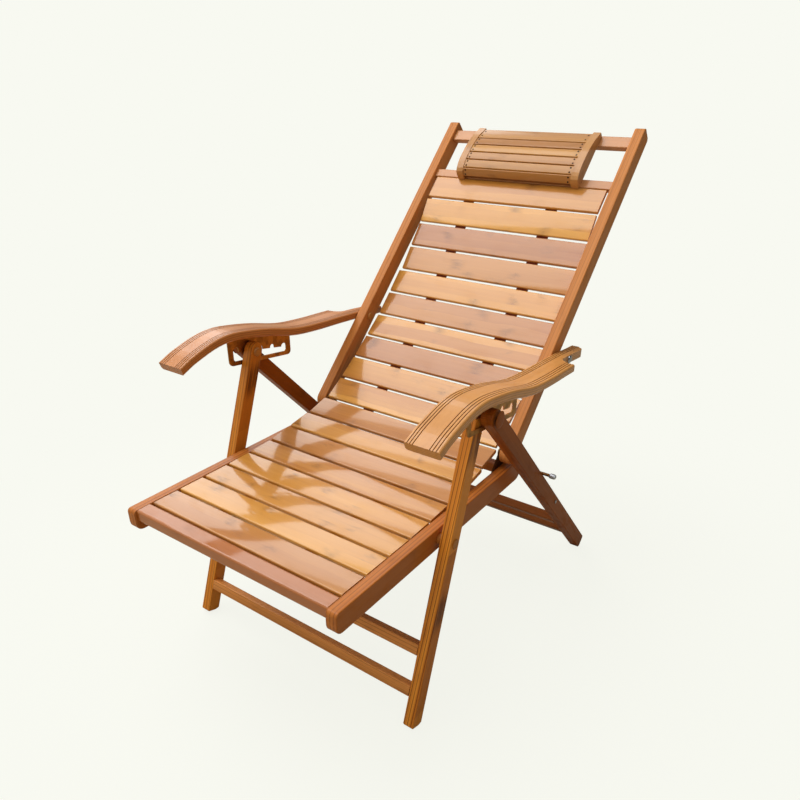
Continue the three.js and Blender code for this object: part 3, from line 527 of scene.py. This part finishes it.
# boards of the seat, back and headrest, by rule: tints run from light (0) to dark (1)
# gap is left free between the headrest's boards, which sit sunk below their CAD nodes' faces
sheetLooks = {
    "seatSlats": {
        "body": "seat", "wood": "slat", "thickness": 0.009, "rounding": 0.0026,
        "nodes": nodesNamed("seat_slat"),
        "tints": (0.85, 0.15, 0.5, 0.1, 0.35, 0.9, 0.3),
    },
    "backSlats": {
        "body": "back", "wood": "slat", "thickness": 0.009, "rounding": 0.0026,
        "trimmed": 4, "trim": 0.0045,  # this many top boards are this much shorter at each end
        "nodes": nodesNamed("corner_slat") + nodesNamed("back_slat"),
        "tints": (0.75, 0.2, 0.4, 0.85, 0.4, 0.9, 0.15, 0.7, 0.95, 0.1, 0.5),
    },
    "headrestSlats": {
        "body": "back", "wood": "headrestSlat", "thickness": 0.006, "rounding": 0.0016,
        "gap": 0.0022, "sunk": 0.0012, "arched": True,
        "nodes": nodesNamed("headrest_slat"),
        "tints": (0.3, 0.6, 0.2, 0.5, 0.3, 0.7),
    },
}
boardSeed = {"step": 1.7, "start": 0.31}
filletSteps = 4


# every rule starts from points, sizes and a material, and ends in plain geometry with that material
def newRule(name, sizes):
    geometry = [("Geometry", "Geometry", None)]
    inputs = geometry + sizes + [("Material", "Material", None)]
    tree, start, end = newGroup(name, "GeometryNodeTree", inputs, geometry)
    tree.is_modifier = True
    return tree, start, end


def finishRule(tree, geometry, start, end):
    plain = addNode(tree, "GeometryNodeRealizeInstances", {0: geometry}).outputs[0]
    painted = addNode(tree, "GeometryNodeSetMaterial", {"Geometry": plain, "Material": start["Material"]})
    feed(tree, end, {"Geometry": painted.outputs[0]})


def slatTree():
    tree, start, end = newRule("slatSheet", [("Thickness", "Float", None), ("Rounding", "Float", None)])

    # each point becomes one board, so boards may differ in depth: loop over the points
    loopIn = addNode(tree, "GeometryNodeForeachGeometryElementInput")
    loopOut = addNode(tree, "GeometryNodeForeachGeometryElementOutput")
    loopIn.pair_with_output(loopOut)
    loopOut.domain = "POINT"
    boardItems = ("Depth", "Half", "Angle", "Seed", "Tint")
    for item in boardItems:
        loopOut.input_items.new("FLOAT", item)
    loopOut.input_items.new("VECTOR", "Place")
    for item in boardItems:
        read = addNode(tree, "GeometryNodeInputNamedAttribute", {"Name": "slat" + item}, data_type="FLOAT")
        feed(tree, loopIn, {item: read.outputs["Attribute"]})
    position = addNode(tree, "GeometryNodeInputPosition").outputs[0]
    feed(tree, loopIn, {"Geometry": start["Geometry"], "Place": position})
    board = loopIn.outputs

    # a rounded section, drawn along a line across the chair
    section = {"Width": board["Depth"], "Height": start["Thickness"]}
    profile = addNode(tree, "GeometryNodeCurvePrimitiveQuadrilateral", section, mode="RECTANGLE").outputs[0]
    corner = {"Curve": profile, "Count": filletSteps, "Radius": start["Rounding"]}
    fillet = addNode(tree, "GeometryNodeFilletCurve", corner, mode="POLY").outputs[0]
    ends = {
        "Start": joinVector(tree, times(tree, board["Half"], -1.0), 0.0, 0.0),
        "End": joinVector(tree, board["Half"], 0.0, 0.0),
    }
    line = addNode(tree, "GeometryNodeCurvePrimitiveLine", ends, mode="POINTS").outputs[0]
    drawn = {"Curve": line, "Profile Curve": fillet, "Fill Caps": True}
    moved = {
        "Geometry": addNode(tree, "GeometryNodeCurveToMesh", drawn).outputs[0],
        "Translation": board["Place"],
        "Rotation": joinVector(tree, board["Angle"], 0.0, 0.0),
    }
    mesh = addNode(tree, "GeometryNodeTransform", moved).outputs[0]
    for item in ("Angle", "Seed", "Tint"):
        stored = {"Geometry": mesh, "Name": "slat" + item, "Value": board[item]}
        store = addNode(tree, "GeometryNodeStoreNamedAttribute", stored, data_type="FLOAT", domain="POINT")
        mesh = store.outputs[0]
    feed(tree, loopOut, {"Geometry": mesh})
    boards = next(s for s in loopOut.outputs if s.identifier == "Generation_0")  # what the loop generates
    finishRule(tree, boards, start, end)
    return tree


def socketId(tree, name):
    for item in tree.interface.items_tree:
        if item.item_type == "SOCKET" and item.in_out == "INPUT" and item.name == name:
            return item.identifier
    raise KeyError(name)


# runs a rule on points with attributes and keeps the result as a plain mesh
def plainFromTree(name, points, attributes, tree, inputs):
    mesh = bpy.data.meshes.new(name + "Points")
    mesh.from_pydata(points, [], [])
    for key, (kind, values) in attributes.items():
        layer = mesh.attributes.new(key, kind, "POINT")
        field = "vector" if kind == "FLOAT_VECTOR" else "value"
        for spot, value in zip(layer.data, values):
            setattr(spot, field, value)
    source = bpy.data.objects.new(name + "Source", mesh)
    bpy.context.scene.collection.objects.link(source)
    modifier = source.modifiers.new("rule", "NODES")
    modifier.node_group = tree
    for key, value in inputs.items():
        modifier[socketId(tree, key)] = value
    graph = bpy.context.evaluated_depsgraph_get()
    evaluated = source.evaluated_get(graph)
    made = bpy.data.meshes.new_from_object(evaluated, preserve_all_data_layers=True, depsgraph=graph)
    source.modifiers.remove(modifier)
    bpy.data.objects.remove(source)
    for poly in made.polygons:
        poly.use_smooth = True
    piece = bpy.data.objects.new(name, made)
    bpy.context.scene.collection.objects.link(piece)
    return piece


# centre, depth, half length and tilt of each board, from its CAD node's corners
# core is a (y, z) that the boards turn their backs on
def slatRow(names, narrower=0.0, sunk=0.0, core=None):
    points, depths, halves, tilts = [], [], [], []
    for name in names:
        corners = [v.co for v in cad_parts[name].data.vertices]
        midY, midZ = middle(corners)
        # the section's long direction gives the tilt
        spreadY = sum((c.y - midY) ** 2 for c in corners)
        spreadZ = sum((c.z - midZ) ** 2 for c in corners)
        spreadYZ = sum((c.y - midY) * (c.z - midZ) for c in corners)
        tilt = 0.5 * math.atan2(2 * spreadYZ, spreadY - spreadZ)
        cos, sin = math.cos(tilt), math.sin(tilt)
        run = [(c.y - midY) * cos + (c.z - midZ) * sin for c in corners]
        out = [-(c.y - midY) * sin + (c.z - midZ) * cos for c in corners]
        midRun = (max(run) + min(run)) / 2
        midOut = (max(out) + min(out)) / 2
        midY += midRun * cos - midOut * sin
        midZ += midRun * sin + midOut * cos
        if core and (midZ - core[1]) * cos < (midY - core[0]) * sin:
            tilt += math.pi
        points.append((0.0, midY + sunk * math.sin(tilt), midZ - sunk * math.cos(tilt)))
        depths.append(max(run) - min(run) - narrower)
        halves.append(max(c.x for c in corners))
        tilts.append(tilt)
    return points, depths, halves, tilts


def middle(corners):
    return sum(c.y for c in corners) / len(corners), sum(c.z for c in corners) / len(corners)


headrestCore = middle([v.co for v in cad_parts["headrest_cheek_left"].data.vertices])
slatSheet = slatTree()
boardWoods = {
    "slat": bambooMaterial("slatWood", bambooLooks["slat"]),
    "headrestSlat": bambooMaterial("headrestWood", bambooLooks["headrestSlat"]),
}
boardCount = 0
for pieceName, look in sheetLooks.items():
    names = look["nodes"]
    core = headrestCore if look.get("arched") else None
    points, depths, halves, tilts = slatRow(names, look.get("gap", 0.0), look.get("sunk", 0.0), core)
    for i in range(look.get("trimmed", 0)):
        halves[-1 - i] -= look["trim"]
    seeds = [boardSeed["step"] * (boardCount + i) + boardSeed["start"] for i in range(len(names))]
    boardCount += len(names)
    attributes = {
        "slatDepth": ("FLOAT", depths),
        "slatHalf": ("FLOAT", halves),
        "slatAngle": ("FLOAT", tilts),
        "slatSeed": ("FLOAT", seeds),
        "slatTint": ("FLOAT", look["tints"]),
    }
    wood = boardWoods[look["wood"]]
    inputs = {"Thickness": look["thickness"], "Rounding": look["rounding"], "Material": wood}
    sheetPiece = plainFromTree(pieceName, points, attributes, slatSheet, inputs)
    sheetPiece.data.set_sharp_from_angle(angle=math.radians(edgeLook["smoothBelow"]))
    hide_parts(*names)
    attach(sheetPiece, look["body"])
    print(pieceName, len(sheetPiece.data.polygons), "faces")

# small heads, by rule: nails in the headrest, screws and wooden plugs on the rear legs
# sizes are half widths, rises are shares of them, and places are (y, z) in the drawing's y
studLook = {
    "sides": 24, "rings": 12, "rise": 0.3, "plugRise": 0.07,
    "nail": 0.0021, "nailInset": 0.006, "nailShare": 0.24,  # of the board's depth, from its middle
    "screw": 0.0042, "screwAt": (0.5289, 0.2448),
    "plug": 0.0155, "plugAt": (0.214, 0.568), "plugSeed": 4.1,
}


def studTree():
    sizes = [("Sides", "Int", None), ("Rings", "Int", None), ("Rise", "Float", None)]
    tree, start, end = newRule("studHeads", sizes)
    ballInputs = {"Radius": 1.0, "Segments": start["Sides"], "Rings": start["Rings"]}
    ball = addNode(tree, "GeometryNodeMeshUVSphere", ballInputs).outputs["Mesh"]
    squash = {"Geometry": ball, "Scale": joinVector(tree, 1.0, 1.0, start["Rise"])}
    size = addNode(tree, "GeometryNodeInputNamedAttribute", {"Name": "studSize"}, data_type="FLOAT")
    turn = addNode(tree, "GeometryNodeInputNamedAttribute", {"Name": "studTurn"}, data_type="FLOAT_VECTOR")
    copies = addNode(tree, "GeometryNodeInstanceOnPoints", {
        "Points": start["Geometry"],
        "Instance": addNode(tree, "GeometryNodeTransform", squash).outputs[0],
        "Rotation": turn.outputs["Attribute"],
        "Scale": size.outputs["Attribute"],
    })
    finishRule(tree, copies.outputs[0], start, end)
    return tree


# spots are (place, turn, size); two nails go into each end of a headrest board
def nailSpots():
    look = sheetLooks["headrestSlats"]
    row = slatRow(look["nodes"], 0.0, look["sunk"], headrestCore)
    rise = look["thickness"] / 2
    spots = []
    for (x, y, z), depth, half, tilt in zip(*row):
        cos, sin = math.cos(tilt), math.sin(tilt)
        for side in (-1, 1):
            for share in (-studLook["nailShare"], studLook["nailShare"]):
                run = depth * share
                nailX = side * (half - studLook["nailInset"])
                place = (nailX, y + run * cos - rise * sin, z + run * sin + rise * cos)
                spots.append((place, (tilt, 0.0, 0.0), studLook["nail"]))
    return spots


# one on the outer face of each rear leg
def legSpots(at, size):
    legFace = max(v.co.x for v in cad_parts["rear_leg_left"].data.vertices)
    y, z = at
    return [((side * legFace, y - shiftY, z), (0.0, math.pi / 2, 0.0), size) for side in (-1, 1)]


studHeads = studTree()
plugWood = bambooMaterial("plugWood", bambooLooks["rearLeg"], "bar", angles["rearLeg"], studLook["plugSeed"])
# (piece, body, slot, material, rise, spots)
studPlan = [
    ("headrestNails", "back", "zinc_steel", metals["darkSteel"], studLook["rise"], nailSpots()),
    ("legScrews", "rear_legs", "zinc_steel", metals["zinc"], studLook["rise"],
     legSpots(studLook["screwAt"], studLook["screw"])),
    ("legPlugs", "rear_legs", "leg_bamboo", plugWood, studLook["plugRise"],
     legSpots(studLook["plugAt"], studLook["plug"])),
]
for pieceName, body, slotName, mat, rise, spots in studPlan:
    places, turns, sizes = zip(*spots)
    attributes = {"studTurn": ("FLOAT_VECTOR", turns), "studSize": ("FLOAT", sizes)}
    inputs = {"Sides": studLook["sides"], "Rings": studLook["rings"], "Rise": rise, "Material": mat}
    heads = plainFromTree(pieceName, places, attributes, studHeads, inputs)
    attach(heads, body)
    print(pieceName, len(spots), "heads")

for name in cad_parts:
    if "_slat" in name:
        continue
    if "bolt" in name or "armrest" in name:
        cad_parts[name].data.set_sharp_from_angle(angle=math.radians(edgeLook["smoothBelow"]))
    elif "notch" in name:
        soften(name, edgeLook["notch"])
    elif "hinge" in name:
        soften(name, edgeLook["hinge"])
    elif "strip" not in name:
        soften(name, edgeLook["bamboo"])
print("edges softened")

# stage: pale paper, an open sky and three soft lamps
# sky and gloss are (from, to, dark, bright), over how far a ray points to skyFrom
stageLook = {
    "size": 60, "floor": srgb(246, 246, 238), "floorRoughness": 0.9, "paper": srgb(248, 249, 241),
    "nearFloor": 0.5, "farFloor": 1.3, "paperShare": 0.9,
    "bounce": srgb(168, 156, 136),  # the floor's colour for light that bounces off it
    "mirrorShare": 0.15,  # how much of the pale floor a glossy ray sees
    "skyFrom": (-0.45, -0.35, 0.82), "sky": (-0.2, 0.9, 0.12, 0.92), "gloss": (0.0, 0.6, 0.06, 0.92),
    "aim": (0, 0, 0.4),
}
lampLooks = {
    "keyLamp": {"place": (-1.2, -0.45, 3.1), "size": (2.2, 2.2), "power": 48.0},
    "fillLamp": {"place": (2.6, -1.8, 1.8), "size": (2.0, 2.0), "power": 4.0},
    "backLamp": {"place": (-2.4, 1.7, 2.3), "size": (2.4, 1.8), "power": 26.0},
}


def makeFloor():
    look = stageLook
    bpy.ops.mesh.primitive_plane_add(size=look["size"], location=(0, 0, 0))
    floor = bpy.context.object
    floor.name = "floor"
    mat, tree, shader = newMaterial("floorPaper")
    # far from the chair the paper is simply pale, near it the paper takes the shadow
    coords = addNode(tree, "ShaderNodeTexCoord").outputs["Object"]
    reach = addNode(tree, "ShaderNodeVectorMath", {0: coords}, operation="LENGTH").outputs["Value"]
    far = smoothStep(tree, reach, look["nearFloor"], look["farFloor"], look["paperShare"], 1.0)
    path = addNode(tree, "ShaderNodeLightPath").outputs
    mirrored = times(tree, path["Is Glossy Ray"], look["mirrorShare"])
    seen = mathNode(tree, "MAXIMUM", path["Is Camera Ray"], mirrored)
    feed(tree, shader, {
        "Base Color": mixColor(tree, seen, look["bounce"], look["floor"]),
        "Roughness": look["floorRoughness"],
        "Specular IOR Level": 0.0,
    })
    pale = addNode(tree, "ShaderNodeEmission", {"Color": look["paper"]}).outputs[0]
    paleShare = times(tree, far, path["Is Camera Ray"])
    surface = addNode(tree, "ShaderNodeMixShader", {0: paleShare, 1: shader.outputs[0], 2: pale}).outputs[0]
    feed(tree, tree.nodes["Material Output"], {"Surface": surface})
    floor.data.materials.append(mat)


# the sky is open on the upper left of the chair and dim on its right, and the camera sees plain paper
def makeSky():
    look = stageLook
    world = bpy.data.worlds.new("studio")
    bpy.context.scene.world = world
    world.use_nodes = True
    tree = world.node_tree
    direction = addNode(tree, "ShaderNodeTexCoord").outputs["Generated"]
    facingInputs = {0: direction, 1: Vector(look["skyFrom"]).normalized()}
    facing = addNode(tree, "ShaderNodeVectorMath", facingInputs, operation="DOT_PRODUCT").outputs["Value"]
    path = addNode(tree, "ShaderNodeLightPath").outputs
    mirror, shown = path["Is Glossy Ray"], path["Is Camera Ray"]
    soft = times(tree, smoothStep(tree, facing, *look["sky"]), minus(tree, 1.0, mirror))
    gloss = times(tree, smoothStep(tree, facing, *look["gloss"]), mirror)
    level = plus(tree, times(tree, plus(tree, soft, gloss), minus(tree, 1.0, shown)), shown)
    feed(tree, tree.nodes["Background"], {"Color": look["paper"], "Strength": level})


def makeLamp(name, look):
    lamp = bpy.data.lights.new(name, "AREA")
    lamp.shape = "RECTANGLE"
    lamp.size, lamp.size_y = look["size"]
    lamp.energy = look["power"]
    lampObject = bpy.data.objects.new(name, lamp)
    bpy.context.scene.collection.objects.link(lampObject)
    lampObject.location = look["place"]
    aim = Vector(stageLook["aim"]) - Vector(look["place"])
    lampObject.rotation_euler = aim.to_track_quat("-Z", "Y").to_euler()


makeFloor()
makeSky()
for name, look in lampLooks.items():
    makeLamp(name, look)
print("stage made, lamps:", len(lampLooks))

# camera, fitted to the photograph: focal length, centre and frame in its pixels, sensor in millimetres
cameraLook = {
    "place": (0.77047, -0.74703, 1.07267),  # in the drawing's y
    "right": (0.80460868, 0.59373539, -0.00911895),
    "up": (-0.28612703, 0.40111396, 0.87019476),
    "back": (0.52032317, -0.69755708, 0.49262352),
    "focal": 697.067, "centre": (376.54, 466.715), "frame": 800, "sensor": 36.0,
}


def makeCamera():
    look = cameraLook
    data = bpy.data.cameras.new("photoCamera")
    camera = bpy.data.objects.new("photoCamera", data)
    bpy.context.scene.collection.objects.link(camera)
    x, y, z = look["place"]
    rotation = Matrix((look["right"], look["up"], look["back"])).transposed()
    camera.matrix_world = Matrix.Translation((x, y - shiftY, z)) @ rotation.to_4x4()
    data.sensor_fit = "HORIZONTAL"
    data.sensor_width = look["sensor"]
    data.lens = look["sensor"] * look["focal"] / look["frame"]
    centreX, centreY = look["centre"]
    data.shift_x = (look["frame"] / 2 - centreX) / look["frame"]
    data.shift_y = (centreY - look["frame"] / 2) / look["frame"]
    bpy.context.scene.camera = camera


makeCamera()
print("camera set")
bpy.context.scene.view_settings.view_transform = "Standard"
